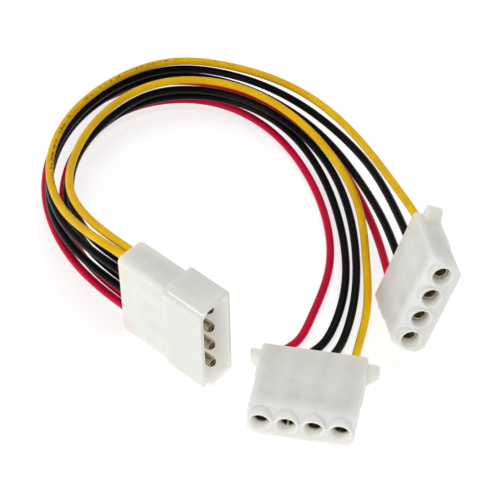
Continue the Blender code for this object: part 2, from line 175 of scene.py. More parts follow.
# Worked out from the sizes above
NOSE_W = PLUG_W - 2.0 * PLUG_INSET_W
NOSE_T = PLUG_T - 2.0 * PLUG_INSET_T
CAVITY_W = NOSE_W + 2.0 * MATE_CLEAR
CAVITY_T = NOSE_T + 2.0 * MATE_CLEAR
INPUT_W = CAVITY_W + 2.0 * WALL_W
INPUT_T = CAVITY_T + 2.0 * WALL_T
CAVITY_DEPTH = PLUG_NOSE + CAVITY_SPARE
SHROUD_LEN = CAVITY_DEPTH + SHROUD_OVER
PIN_Y = WALL_T + MATE_CLEAR + AXIS_Z - PLUG_INSET_T
SOCKET_WALL = SOCKET_R - SOCKET_BORE_R
ROWS = [PITCH * (i - (WAYS - 1) / 2.0) for i in range(WAYS)]
INPUT_ROWS = [INPUT_W / 2.0 + row for row in ROWS]
COLOURS = ["red", "black_2", "black_1", "yellow"]

# Where each connector lies: place in millimetres, turn in degrees
INPUT_POSE = ((-33.1, 8.8, 0.68), (3.0, 2.0, -42.7))
PLUG_A_POSE = ((1.65, -19.0, 0.0), (0.0, 0.0, -11.2))
PLUG_B_POSE = ((29.6, 1.1, 13.9), (-22.6, -66.5, 28.4))

# Wire routes between the two exits, in metres
ROUTES = {
    "wire_b_yellow": [
        (-0.0400, 0.0212, 0.0173), (-0.0475, 0.0365, 0.0125), (-0.0505, 0.0520, 0.0100),
        (-0.0480, 0.0680, 0.0090), (-0.0390, 0.0825, 0.0085), (-0.0255, 0.0905, 0.0082),
        (-0.0110, 0.0879, 0.0085), (0.0030, 0.0780, 0.0096), (0.0120, 0.0645, 0.0116),
        (0.0180, 0.0495, 0.0143), (0.0230, 0.0330, 0.0174),
    ],
    "wire_b_black_1": [
        (-0.0405, 0.0220, 0.0127), (-0.0480, 0.0370, 0.0095), (-0.0507, 0.0522, 0.0078),
        (-0.0480, 0.0680, 0.0067), (-0.0390, 0.0830, 0.0061), (-0.0255, 0.0905, 0.0060),
        (-0.0110, 0.0875, 0.0063), (0.0025, 0.0767, 0.0074), (0.0115, 0.0635, 0.0090),
        (0.0180, 0.0490, 0.0110), (0.0223, 0.0325, 0.0132),
    ],
    "wire_b_black_2": [
        (-0.0407, 0.0223, 0.0083), (-0.0485, 0.0372, 0.0065), (-0.0510, 0.0527, 0.0050),
        (-0.0485, 0.0690, 0.0042), (-0.0395, 0.0837, 0.0038), (-0.0260, 0.0910, 0.0037),
        (-0.0117, 0.0877, 0.0039), (0.0017, 0.0767, 0.0044), (0.0103, 0.0635, 0.0054),
        (0.0163, 0.0485, 0.0068), (0.0207, 0.0320, 0.0088),
    ],
    "wire_b_red": [
        (-0.0410, 0.0227, 0.0040), (-0.0490, 0.0380, 0.0032), (-0.0523, 0.0540, 0.0026),
        (-0.0503, 0.0705, 0.0020), (-0.0413, 0.0850, 0.0016), (-0.0273, 0.0917, 0.0015),
        (-0.0123, 0.0890, 0.0015), (0.0015, 0.0780, 0.0017), (0.0105, 0.0640, 0.0022),
        (0.0160, 0.0485, 0.0030), (0.0195, 0.0315, 0.0044),
    ],
    "wire_a_yellow": [
        (-0.0387, 0.0229, 0.0181), (-0.0447, 0.0375, 0.0146), (-0.0447, 0.0535, 0.0118),
        (-0.0395, 0.0690, 0.0103), (-0.0278, 0.0804, 0.0096), (-0.0133, 0.0808, 0.0091),
        (-0.0003, 0.0723, 0.0086), (0.0098, 0.0577, 0.0077), (0.0153, 0.0427, 0.0062),
        (0.0165, 0.0270, 0.0042), (0.0156, 0.0115, 0.0022), (0.0137, 0.0036, 0.0017),
    ],
    "wire_a_black_1": [
        (-0.0387, 0.0233, 0.0130), (-0.0447, 0.0382, 0.0102), (-0.0452, 0.0537, 0.0086),
        (-0.0395, 0.0690, 0.0076), (-0.0282, 0.0804, 0.0070), (-0.0140, 0.0805, 0.0066),
        (-0.0008, 0.0720, 0.0062), (0.0090, 0.0577, 0.0054), (0.0135, 0.0420, 0.0044),
        (0.0145, 0.0270, 0.0032), (0.0128, 0.0126, 0.0019), (0.0102, 0.0044, 0.0015),
    ],
    "wire_a_black_2": [
        (-0.0390, 0.0237, 0.0087), (-0.0455, 0.0387, 0.0069), (-0.0465, 0.0542, 0.0057),
        (-0.0413, 0.0697, 0.0050), (-0.0293, 0.0807, 0.0046), (-0.0147, 0.0815, 0.0044),
        (-0.0012, 0.0730, 0.0039), (0.0073, 0.0583, 0.0032), (0.0113, 0.0425, 0.0026),
        (0.0124, 0.0270, 0.0020), (0.0097, 0.0115, 0.0015), (0.0066, 0.0049, 0.0014),
    ],
    "wire_a_red": [
        (-0.0395, 0.0240, 0.0043), (-0.0465, 0.0395, 0.0033), (-0.0480, 0.0552, 0.0028),
        (-0.0438, 0.0705, 0.0024), (-0.0323, 0.0820, 0.0021), (-0.0170, 0.0835, 0.0018),
        (-0.0040, 0.0747, 0.0015), (0.0047, 0.0593, 0.0012), (0.0087, 0.0440, 0.0011),
        (0.0090, 0.0280, 0.0011), (0.0047, 0.0126, 0.0012), (0.0018, 0.0060, 0.0014),
    ],
}

# Spacing of a drawn wire's points in metres, and samples along its curve to find them
FINE_STEP = 0.0009
ROUTE_SAMPLES = 1600

# Camera: place in metres, tilt down and roll in degrees, sensor and lens in millimetres
CAMERA_AT = (-0.0075, -0.23126, 0.2432)
CAMERA_DOWN = 42.465
CAMERA_ROLL = -0.225
SENSOR = 36.0
LENS = 122.56

# Light boxes: name, place, size in metres, power in watts
LIGHT_BOXES = [
    ("front_box", (-0.95, -0.62, 0.36), 0.7, 4.6),
    ("top_box", (0.15, 0.25, 1.0), 0.8, 3.3),
]
LIGHT_AIM = (0.0, 0.02, 0.0)
SKY_STRENGTH = 0.45
PAPER_GLOW = 0.72

# Finish colours. The metals are bright and dark; the plastics are low, high and a painted shade for the
# underside
WHITE = (1.0, 1.0, 1.0, 1.0)
UNLIT = (0.0, 0.0, 0.0, 1.0)
# Painted light: the warm glow inside the bores and the mouth
WARM_LIGHT = (1.0, 0.96, 0.86, 1.0)
MILK_LOW = (0.775, 0.785, 0.74, 1.0)
MILK_HIGH = (0.83, 0.835, 0.78, 1.0)
MILK_MOTTLE = (0.85, 0.84, 0.77, 1.0)
MILK_SHADE = (0.66, 0.665, 0.64, 1.0)
MILK_SCRATCH = (0.90, 0.90, 0.88, 1.0)
# Painted light: the paler colour of the bore and mouth walls
MILK_HOLLOW_LIT = (0.97, 0.96, 0.91, 1.0)
# Painted light: a paler tone for the sloped band between the bores' fronts
MILK_SLOPE_LIT = (0.89, 0.89, 0.905, 1.0)
# Painted light: a lighter, yellower tone for the ears
MILK_EAR_LIT = (0.875, 0.878, 0.79, 1.0)
# Painted shade: a darker, cooler tone for the front of the pin connector
MILK_FRONT_SHADE = (0.735, 0.76, 0.71, 1.0)
RED_THROUGH = (0.86, 0.45, 0.52, 1.0)
YELLOW_THROUGH_PLUG = (0.88, 0.74, 0.36, 1.0)
YELLOW_THROUGH_INPUT = (0.88, 0.72, 0.30, 1.0)
DRAWN_LINE = (0.16, 0.13, 0.08, 1.0)
# Painted reflection and shade: the dark colour of the pins' tips and lower sides
DARK_REFLECTION_AND_SHADE = (0.035, 0.03, 0.02, 1.0)
SOCKET_METAL = ((0.40, 0.35, 0.23, 1.0), (0.22, 0.19, 0.12, 1.0))
# Painted light: a brighter copy of the socket plating, for the plug whose bores catch more light
SOCKET_METAL_LIT = ((0.86, 0.76, 0.56, 1.0), (0.62, 0.52, 0.36, 1.0))
PIN_METAL = ((0.55, 0.48, 0.31, 1.0), (0.32, 0.27, 0.17, 1.0))
YELLOW_PLASTIC = ((0.80, 0.45, 0.001, 1.0), (0.92, 0.56, 0.002, 1.0), (0.22, 0.12, 0.002, 1.0))
BLACK_PLASTIC = ((0.001, 0.0008, 0.0008, 1.0), (0.003, 0.0025, 0.0022, 1.0), (0.001, 0.0008, 0.0008, 1.0))
RED_PLASTIC = ((0.60, 0.0006, 0.034, 1.0), (0.70, 0.001, 0.050, 1.0), (0.22, 0.0004, 0.02, 1.0))
DUST = (0.75, 0.73, 0.70, 1.0)
INK = (0.10, 0.075, 0.03, 1.0)
PAPER = ((0.43, 0.43, 0.43, 1.0), (0.45, 0.45, 0.447, 1.0))


def pose_matrix(pose):
    """Where a connector lies, as a matrix in metres."""
    position, turn = pose
    place_at = Matrix.Translation([c * MM for c in position])
    return place_at @ Euler([math.radians(a) for a in turn], "XYZ").to_matrix().to_4x4()


# Finishes

class Shader:
    """A material or group tree with short ways to add and join nodes."""

    def __init__(self, tree):
        self.tree = tree

    def add(self, kind, inputs=None, **settings):
        made = self.tree.nodes.new("ShaderNode" + kind)
        for name, value in settings.items():
            setattr(made, name, value)
        for name, value in (inputs or {}).items():
            self.feed(made, name, value)
        return made

    def feed(self, made, name, value):
        socket = made.inputs[name]
        if isinstance(value, bpy.types.NodeSocket):
            self.tree.links.new(value, socket)
        else:
            socket.default_value = value

    def noise(self, vector, scale, detail=2.0, rough=0.5):
        made = self.add("TexNoise", {"Vector": vector, "Scale": scale, "Detail": detail, "Roughness": rough})
        return made.outputs["Fac"]

    def stretch(self, vector, scale, turn=(0.0, 0.0, 0.0)):
        made = self.add("Mapping", {"Vector": vector, "Scale": scale, "Rotation": turn})
        return made.outputs["Vector"]

    def band(self, value, low, high, out_low=0.0, out_high=1.0):
        """A smooth change from out_low to out_high while the value goes from low to high."""
        made = self.add("MapRange", {"Value": value, "From Min": low, "From Max": high,
                                     "To Min": out_low, "To Max": out_high})
        made.interpolation_type = "SMOOTHSTEP"
        return made.outputs["Result"]

    def maths(self, kind, first, second=0.0):
        made = self.add("Math", {0: first, 1: second}, operation=kind)
        return made.outputs[0]

    def times(self, first, *others):
        for other in others:
            first = self.maths("MULTIPLY", first, other)
        return first

    def away(self, value, middle):
        """How far a value is from the middle one, on either side."""
        return self.maths("ABSOLUTE", self.maths("SUBTRACT", value, middle))

    def split(self, vector):
        return self.add("SeparateXYZ", {"Vector": vector}).outputs

    def own_place(self):
        """A point's place on its own connector, in millimetres."""
        return self.add("Attribute", attribute_name="local_mm").outputs["Vector"]

    def blend(self, fac, first, second):
        made = self.add("Mix", data_type="RGBA")
        for index, value in ((0, fac), (6, first), (7, second)):
            self.feed(made, index, value)
        return made.outputs[2]


def new_group(name, masks):
    """A node group that takes a place and a scale and puts out masks from 0 to 1."""
    tree = bpy.data.node_groups.new(name, "ShaderNodeTree")
    tree.interface.new_socket("Vector", in_out="INPUT", socket_type="NodeSocketVector")
    tree.interface.new_socket("Scale", in_out="INPUT", socket_type="NodeSocketFloat")
    for label in masks:
        tree.interface.new_socket(label, in_out="OUTPUT", socket_type="NodeSocketFloat")
    inside = tree.nodes.new("NodeGroupInput").outputs
    return Shader(tree), inside["Vector"], inside["Scale"], tree.nodes.new("NodeGroupOutput")


def cloudy_group():
    """Soft uneven tone of moulded plastic, from 0 to 1, and a fine haze for the gloss."""
    sh, place, scale, out = new_group("cloudy_tone", ["Tone", "Haze"])
    big = sh.noise(place, scale, 3.0, 0.55)
    fine = sh.noise(place, sh.times(scale, 9.0), 4.0, 0.6)
    sh.feed(out, "Tone", sh.band(big, 0.32, 0.68))
    sh.feed(out, "Haze", sh.band(fine, 0.3, 0.7))
    return sh.tree


def scratch_group():
    """Thin broken handling scratches running in two directions, 1 on a scratch."""
    sh, place, scale, out = new_group("handling_scratches", ["Scratch"])
    directions = []
    for turn, stretch in (((0.3, 0.5, 0.9), (1.0, 14.0, 14.0)), ((1.1, 0.2, -0.6), (12.0, 0.9, 12.0))):
        drawn = sh.stretch(place, stretch, turn)
        thin = sh.band(sh.away(sh.noise(drawn, scale, 1.0, 0.4), 0.5), 0.0, 0.012, 1.0, 0.0)
        broken = sh.band(sh.noise(drawn, sh.times(scale, 0.23), 1.0), 0.56, 0.66)
        directions.append(sh.times(thin, broken))
    sh.feed(out, "Scratch", sh.maths("MAXIMUM", *directions))
    return sh.tree


def use_group(sh, tree, inputs):
    """Place a node group in a material and give its outputs."""
    made = sh.tree.nodes.new("ShaderNodeGroup")
    made.node_tree = tree
    for name, value in inputs.items():
        sh.feed(made, name, value)
    return made.outputs


def new_material(name):
    """A material, its tree to add to, and its surface shader."""
    mat = bpy.data.materials.new(name)
    mat.use_nodes = True
    sh = Shader(mat.node_tree)
    return mat, sh, mat.node_tree.nodes["Principled BSDF"]


def nylon(name, clouds, scratches, shadows, tints_and_light, painted_glow, glow):
    """Milky nylon: lets light in, uneven in tone, with painted shade over what lies behind the wall, wire
    colours faintly seen through it, and a painted glow inside its bores and mouth.
    """
    mat, sh, skin = new_material(name)
    local = sh.own_place()
    cloud = use_group(sh, clouds, {"Vector": local, "Scale": 0.16})
    mottle = use_group(sh, clouds, {"Vector": local, "Scale": 0.55})
    scratch = use_group(sh, scratches, {"Vector": local, "Scale": 0.22})["Scratch"]
    tone = sh.blend(cloud["Tone"], MILK_LOW, MILK_HIGH)
    tone = sh.blend(sh.times(mottle["Tone"], 0.35), tone, MILK_MOTTLE)
    uneven = sh.band(mottle["Tone"], 0.0, 1.0, 0.35, 0.75)
    tone = sh.blend(sh.times(shadows(sh, local), uneven), tone, MILK_SHADE)
    tone = tints_and_light(sh, tone, local)
    tone = sh.blend(sh.times(scratch, 0.25), tone, MILK_SCRATCH)
    # Painted light: these walls are painted paler and glow warm, though no lamp is there
    glow_mask = painted_glow(sh, local)
    sh.feed(skin, "Base Color", sh.blend(glow_mask, tone, MILK_HOLLOW_LIT))
    sh.feed(skin, "Emission Color", sh.blend(glow_mask, UNLIT, WARM_LIGHT))
    skin.inputs["Emission Strength"].default_value = glow
    gloss = sh.band(mottle["Haze"], 0.0, 1.0, 0.36, 0.47)
    sh.feed(skin, "Roughness", sh.maths("ADD", gloss, sh.times(scratch, 0.12)))
    skin.inputs["Subsurface Weight"].default_value = 1.0
    skin.inputs["Subsurface Radius"].default_value = (1.0, 0.98, 0.92)
    skin.inputs["Subsurface Scale"].default_value = 0.0016
    skin.inputs["IOR"].default_value = 1.53
    height = sh.maths("SUBTRACT", sh.times(mottle["Haze"], 0.25), sh.times(scratch, 0.5))
    height = sh.maths("ADD", height, sh.times(cloud["Tone"], 1.6))
    bump = sh.add("Bump", {"Strength": 0.35, "Distance": 0.00006, "Height": height})
    sh.feed(skin, "Normal", bump.outputs["Normal"])
    return mat


def from_row(sh, across, first_row):
    """Distance from the middle line of the nearest way, in millimetres."""
    return sh.maths("PINGPONG", sh.maths("ADD", across, PITCH * WAYS - first_row), PITCH / 2.0)


def from_bore(sh, split):
    """Distance from the nearest bore's middle line, round it, in millimetres."""
    across = from_row(sh, split["X"], ROWS[0])
    up = sh.maths("SUBTRACT", split["Z"], AXIS_Z)
    return sh.maths("POWER", sh.maths("ADD", sh.times(across, across), sh.times(up, up)), 0.5)


def plug_shadows(sh, local):
    """Soft darker patches over the bores, in the front half of a plug's flat side."""
    split = sh.split(local)
    patch = sh.noise(sh.stretch(local, (1.0, 0.55, 1.0)), 0.34)
    near = sh.band(from_row(sh, split["X"], ROWS[0]), 0.6, 2.5, 1.0, 0.55)
    inner = sh.band(sh.away(split["X"], 0.0), 7.4, 10.2, 1.0, 0.15)
    along = sh.times(sh.band(split["Y"], 2.2, 4.6), sh.band(split["Y"], 6.0, 11.5, 1.0, 0.0))
    top = sh.band(split["Z"], PLUG_T - 0.6, PLUG_T - 0.2)
    return sh.times(near, sh.band(patch, 0.34, 0.6, 0.25, 1.0), inner, along, top, 0.95)


def input_shadows(sh, local):
    """Faint dark bars where the pins pass behind the near wall of the pin connector."""
    split = sh.split(local)
    near = sh.band(from_row(sh, split["Z"], INPUT_ROWS[0]), 0.5, 2.0, 1.0, 0.0)
    along = sh.times(sh.band(split["X"], 4.0, 7.0), sh.band(split["X"], 16.0, 20.0, 1.0, 0.0))
    return sh.times(near, along, 0.3)


def plug_painted_glow(sh, local):
    """Painted light: 1 on the front of each bore's wall, which is painted paler and made to glow for the
    light that comes in through the thin milky plastic.
    """
    split = sh.split(local)
    near = sh.band(from_bore(sh, split), BORE_R + 0.01, BORE_R + 0.07, 1.0, 0.0)
    return sh.times(near, sh.band(split["Y"], 1.0, 4.0, 1.0, 0.0))


def input_painted_glow(sh, local):
    """Painted light: 1 on the walls inside the pin connector's mouth, which are painted paler and made to
    glow for the light that comes in through the milky plastic.
    """
    split = sh.split(local)
    across = sh.away(split["Y"], WALL_T + CAVITY_T / 2.0)
    tall = sh.away(split["Z"], INPUT_W / 2.0)
    deep = sh.band(split["X"], INPUT_LEN - CAVITY_DEPTH - 0.3, INPUT_LEN - CAVITY_DEPTH + 1.5)
    return sh.times(
        sh.band(across, CAVITY_T / 2.0 + 0.03, CAVITY_T / 2.0 + 0.3, 1.0, 0.0),
        sh.band(tall, CAVITY_W / 2.0 + 0.03, CAVITY_W / 2.0 + 0.3, 1.0, 0.0), deep,
    )


def wire_tint(sh, tone, across, row, reach, along, colour):
    """Tint the tone where one wire shows through the milky wall."""
    near = sh.band(sh.away(across, row), 0.6, reach, 1.0, 0.0)
    return sh.blend(sh.times(near, along), tone, colour)


def plug_tints_and_light(sh, tone, local):
    """Painted light on the slope between the bores' fronts, which is paler, and on the ears, which are
    lighter and yellower; wire colours through the rear end.
    """
    split = sh.split(local)
    between = sh.band(from_bore(sh, split), SILO_R + 0.02, SILO_R + 0.2)
    front = sh.band(split["Y"], 0.8, 5.2, 1.0, 0.0)
    # Painted light: the slope between the bores' fronts is painted paler
    slope = sh.times(between, front, sh.band(split["Z"], 4.0, 4.4))
    tone = sh.blend(slope, tone, MILK_SLOPE_LIT)
    # Painted light: the ears are painted lighter and yellower
    ears = sh.band(sh.away(split["X"], 0.0), PLUG_W / 2.0 - 0.6, PLUG_W / 2.0 + 0.4, 0.0, 0.9)
    tone = sh.blend(ears, tone, MILK_EAR_LIT)
    rear = sh.band(split["Y"], PLUG_LEN - 4.5, PLUG_LEN, 0.0, 0.30)
    tone = wire_tint(sh, tone, split["X"], ROWS[0], 2.4, rear, RED_THROUGH)
    return wire_tint(sh, tone, split["X"], ROWS[-1], 2.4, rear, YELLOW_THROUGH_PLUG)


def input_tints_and_shade(sh, tone, local):
    """Painted shade towards the pin connector's mouth, darker and cooler there, and wire colours through its
    rear end.
    """
    split = sh.split(local)
    # Painted shade: the front towards the mouth is painted darker and cooler
    tone = sh.blend(sh.band(split["X"], 9.0, 16.0, 0.0, 0.8), tone, MILK_FRONT_SHADE)
    rear = sh.band(split["X"], 0.0, 4.5, 0.34, 0.0)
    tone = wire_tint(sh, tone, split["Z"], INPUT_ROWS[0], 2.8, rear, RED_THROUGH)
    return wire_tint(sh, tone, split["Z"], INPUT_ROWS[-1], 3.6, rear, YELLOW_THROUGH_INPUT)


def pin_dark_tip_and_underside(sh, local):
    """Painted dark reflection on a pin's rounded tip, and painted shade along its lower side."""
    split = sh.split(local)
    worn = sh.noise(local, 1.6, 3.0, 0.6)
    tip = INPUT_LEN - PIN_RECESS
    # Painted reflection: the rounded tip is painted dark
    end = sh.band(sh.maths("ADD", split["X"], sh.times(worn, 0.5)), tip - 0.25, tip + 0.05)
    shifted = sh.maths("ADD", split["Z"], PITCH * (WAYS + 0.5) - INPUT_ROWS[0])
    down = sh.maths("SUBTRACT", sh.maths("FLOORED_MODULO", shifted, PITCH), PITCH / 2.0)
    # Painted shade along the pin's lower side
    under = sh.band(down, -0.92, -0.62, 1.0, 0.0)
    return sh.times(sh.maths("MAXIMUM", end, under), sh.band(worn, 0.3, 0.6, 0.55, 0.95))


def brass(name, clouds, bright, dark, painted_dark=None):
    """Rolled and plated brass strip: drawn lines, stained patches, brighter rubbed places, and where given a
    painted dark reflection and painted shade.
    """
    mat, sh, skin = new_material(name)
    local = sh.own_place()
    cloud = use_group(sh, clouds, {"Vector": local, "Scale": 0.9})
    lines = sh.noise(sh.stretch(local, (9.0, 0.7, 9.0)), 3.0, 3.0, 0.6)
    tone = sh.blend(cloud["Tone"], dark, bright)
    tone = sh.blend(sh.band(lines, 0.5, 0.7, 0.0, 0.5), tone, DRAWN_LINE)
    # Painted dark reflection and painted shade, where given
    if painted_dark:
        tone = sh.blend(painted_dark(sh, local), tone, DARK_REFLECTION_AND_SHADE)
    sh.feed(skin, "Base Color", tone)
    skin.inputs["Metallic"].default_value = 1.0
    sh.feed(skin, "Roughness", sh.band(cloud["Haze"], 0.0, 1.0, 0.24, 0.40))
    bump = sh.add("Bump", {"Strength": 0.3, "Distance": 0.00003, "Height": lines})
    sh.feed(skin, "Normal", bump.outputs["Normal"])
    return mat


def sleeve(name, clouds, colours, sheen, shine, marks=None):
    """Soft plastic wire sleeve: slight orange peel, dull and glossy patches, painted shade below, a lint of
    dust.
    """
    low, high, under = colours
    mat, sh, skin = new_material(name)
    place = sh.add("TexCoord").outputs["Object"]
    cloud = use_group(sh, clouds, {"Vector": place, "Scale": 130.0})
    tone = sh.blend(cloud["Tone"], low, high)
    facing = sh.split(sh.add("NewGeometry").outputs["Normal"])["Z"]
    # Painted shade: the sleeve is painted darker where it faces down
    tone = sh.blend(sh.band(facing, -0.75, 0.15, 0.75, 0.0), tone, under)
    dust = sh.noise(place, 2600.0, 3.0, 0.7)
    tone = sh.blend(sh.band(dust, 0.66, 0.76, 0.0, 0.04), tone, DUST)
    if marks:
        tone = sh.blend(marks(sh), tone, INK)
    sh.feed(skin, "Base Color", tone)
    sh.feed(skin, "Roughness", sh.band(cloud["Haze"], 0.0, 1.0, sheen - 0.05, sheen + 0.07))
    skin.inputs["Specular IOR Level"].default_value = shine
    peel = sh.noise(place, 1500.0)
    bump = sh.add("Bump", {"Strength": 0.25, "Distance": 0.00002, "Height": peel})
    sh.feed(skin, "Normal", bump.outputs["Normal"])
    return mat


def print_marks(sh):
    """Short worn ink dashes in a broken line along one side of the sleeve, faded over its second half."""
    uv = sh.add("TexCoord").outputs["UV"]
    split = sh.split(uv)
    narrow = sh.band(sh.away(split["Y"], 0.3), 0.035, 0.05, 1.0, 0.0)
    dashes = sh.band(sh.noise(sh.stretch(uv, (170.0, 4.0, 1.0)), 1.0, 2.0, 0.8), 0.5, 0.54)
    groups = sh.band(sh.maths("PINGPONG", split["X"], 0.09), 0.012, 0.016)
    worn_off = sh.band(split["X"], 0.40, 0.62, 0.8, 0.12)
    return sh.times(narrow, dashes, groups, worn_off)


# Pieces

def at(u, v, level, axis):
    """A point of a flat outline at a level along an axis, in metres."""
    if axis == "X":
        co = (level, u, v)
    elif axis == "Y":
        co = (u, level, v)
    else:
        co = (u, v, level)
    return Vector(co) * MM


def as_object(name, bm):
    """Turn a finished bmesh into an object, its faces pointing outwards."""
    bmesh.ops.recalc_face_normals(bm, faces=bm.faces)
    mesh = bpy.data.meshes.new(name)
    bm.to_mesh(mesh)
    bm.free()
    obj = bpy.data.objects.new(name, mesh)
    bpy.context.scene.collection.objects.link(obj)
    return obj


def slab(name, outline, axis, low, high, edge=0.0, segments=3):
    """A flat outline pulled along an axis, with its edges rounded."""
    bm = bmesh.new()
    face = bm.faces.new([bm.verts.new(at(u, v, low, axis)) for u, v in outline])
    pulled = bmesh.ops.extrude_face_region(bm, geom=[face])
    moved = [g for g in pulled["geom"] if isinstance(g, bmesh.types.BMVert)]
    bmesh.ops.translate(bm, verts=moved, vec=at(0.0, 0.0, high - low, axis))
    if edge:
        bmesh.ops.bevel(
            bm, geom=bm.edges[:], offset=edge * MM, segments=segments, profile=0.5, affect="EDGES",
            material=-1,
        )
    return as_object(name, bm)


def stepped(name, rings, axis, edge):
    """A piece pulled through several outlines with the same count of corners, its sharp edges rounded."""
    bm = bmesh.new()
    level, outline = rings[0]
    first = face = bm.faces.new([bm.verts.new(at(u, v, level, axis)) for u, v in outline])
    for level, outline in rings[1:]:
        pulled = bmesh.ops.extrude_face_region(bm, geom=[face])["geom"]
        if face is not first:
            # The last outline's own face would stay as a wall inside the piece
            bmesh.ops.delete(bm, geom=[face], context="FACES_ONLY")
        corners = [at(u, v, level, axis) for u, v in outline]
        for vert in [g for g in pulled if isinstance(g, bmesh.types.BMVert)]:
            vert.co = min(corners, key=lambda co: (co - vert.co).length)
        face = [g for g in pulled if isinstance(g, bmesh.types.BMFace)][0]
    bmesh.ops.recalc_face_normals(bm, faces=bm.faces)
    sharp = [e for e in bm.edges if e.calc_face_angle(0.0) > math.radians(SHARP_ANGLE)]
    bmesh.ops.bevel(bm, geom=sharp, offset=edge * MM, segments=3, profile=0.5, affect="EDGES", material=-1)
    return as_object(name, bm)


def rounded(start, radius, steps, way=1.0):
    """Profile points of a rounded lip. way is -1 where its steps cut into the radius."""
    return [(start + along, radius + way * across) for along, across in steps]


def turned(name, profile, centre, axis, steps=HOLE_STEPS):
    """A closed turned piece. profile is (along, radius) and starts and ends on the axis."""
    bm = bmesh.new()
    if axis == "X":
        spots = [(along, centre[0] + radius, centre[1]) for along, radius in profile]
        middle, line = (0.0, centre[0], centre[1]), (1.0, 0.0, 0.0)
    else:
        spots = [(centre[0] + radius, along, centre[1]) for along, radius in profile]
        middle, line = (centre[0], 0.0, centre[1]), (0.0, 1.0, 0.0)
    chain = [bm.verts.new(Vector(co) * MM) for co in spots]
    edges = [bm.edges.new(pair) for pair in zip(chain, chain[1:])]
    bmesh.ops.spin(
        bm, geom=chain + edges, cent=Vector(middle) * MM, axis=line, angle=2.0 * math.pi, steps=steps,
        use_merge=True,
    )
    bmesh.ops.remove_doubles(bm, verts=bm.verts, dist=POLE_WELD * MM)
    return as_object(name, bm)


def combine(obj, tool, operation):
    """Join a tool piece to a piece or cut it out, and use the tool up."""
    mod = obj.modifiers.new(operation.lower(), "BOOLEAN")
    mod.operation = operation
    mod.solver = "EXACT"
    mod.object = tool
    bpy.context.view_layer.update()
    graph = bpy.context.evaluated_depsgraph_get()
    mesh = bpy.data.meshes.new_from_object(obj.evaluated_get(graph))
    old = obj.data
    obj.modifiers.clear()
    obj.data = mesh
    bpy.data.meshes.remove(old)
    bpy.data.objects.remove(tool, do_unlink=True)


def settle(obj, pose, material, node):
    """Clean the mesh, keep its own coordinates for the finish, and put it where its node is."""
    bm = bmesh.new()
    bm.from_mesh(obj.data)
    bmesh.ops.remove_doubles(bm, verts=bm.verts, dist=MESH_WELD * MM)
    bmesh.ops.dissolve_degenerate(bm, edges=bm.edges, dist=MESH_WELD * MM)
    bmesh.ops.dissolve_limit(
        bm, angle_limit=math.radians(FLAT_ANGLE), use_dissolve_boundaries=False, verts=bm.verts,
        edges=bm.edges,
    )
    bmesh.ops.triangulate(bm, faces=[f for f in bm.faces if len(f.verts) > 4])
    bmesh.ops.recalc_face_normals(bm, faces=bm.faces)
    bm.to_mesh(obj.data)
    bm.free()
    mesh = obj.data
    count = len(mesh.vertices)
    places = np.empty(count * 3, np.float32)
    mesh.vertices.foreach_get("co", places)
    own = mesh.attributes.new("local_mm", "FLOAT_VECTOR", "POINT")
    own.data.foreach_set("vector", places / MM)
    mesh.transform(pose)
    mesh.shade_smooth()
    mesh.set_sharp_from_angle(angle=math.radians(SMOOTH_ANGLE))
    mesh.materials.clear()
    mesh.materials.append(material)
    obj.name = node + "_fine"
    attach(obj, "root")
    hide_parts(node)


def d_outline(width, thick, cut_w, cut_t, flat_cut, low=0.0):
    """Outline across a connector: width, then thickness, with the cut corners on the low side."""
    h = width / 2.0
    top = low + thick
    return [
        (-h + cut_w, low), (h - cut_w, low), (h, low + cut_t), (h, top - flat_cut),
        (h - flat_cut, top), (-h + flat_cut, top), (-h, top - flat_cut), (-h, low + cut_t),
    ]


def plug_ear(side):
    """Side ear at the rear end of a plug, sloped towards the front."""
    base = PLUG_W / 2.0
    root = base - OVERSHOOT
    tip = base + EAR_OUT
    slope_end = PLUG_LEN - EAR_TIP - EAR_OUT
    outline = [
        (side * root, PLUG_LEN - EAR_SET),
        (side * tip, PLUG_LEN - EAR_SET),
        (side * tip, PLUG_LEN - EAR_TIP),
        (side * base, slope_end),
        (side * root, slope_end - OVERSHOOT),
    ]
    return slab("ear", outline, "Z", EAR_LOW, EAR_LOW + EAR_THICK, EDGE)


def plug_bore(x):
    """Room for one socket: its bore, the ledge its lances catch on, and the rear chamber."""
    front = -OVERSHOOT
    back = PLUG_LEN + OVERSHOOT
    ledge_end = LEDGE_AT + LEDGE_LEN
    profile = [
        (front, 0.0), (front, BORE_R + BORE_LIP[0][1]), *rounded(0.0, BORE_R, BORE_LIP),
        (LEDGE_AT, BORE_R), (LEDGE_AT, LEDGE_R), (ledge_end, LEDGE_R), (ledge_end, REAR_R),
        *rounded(PLUG_LEN, REAR_R, REAR_LIP), (back, REAR_R + REAR_LIP[-1][1]), (back, 0.0),
    ]
    return turned("bore", profile, (x, AXIS_Z), "Y")


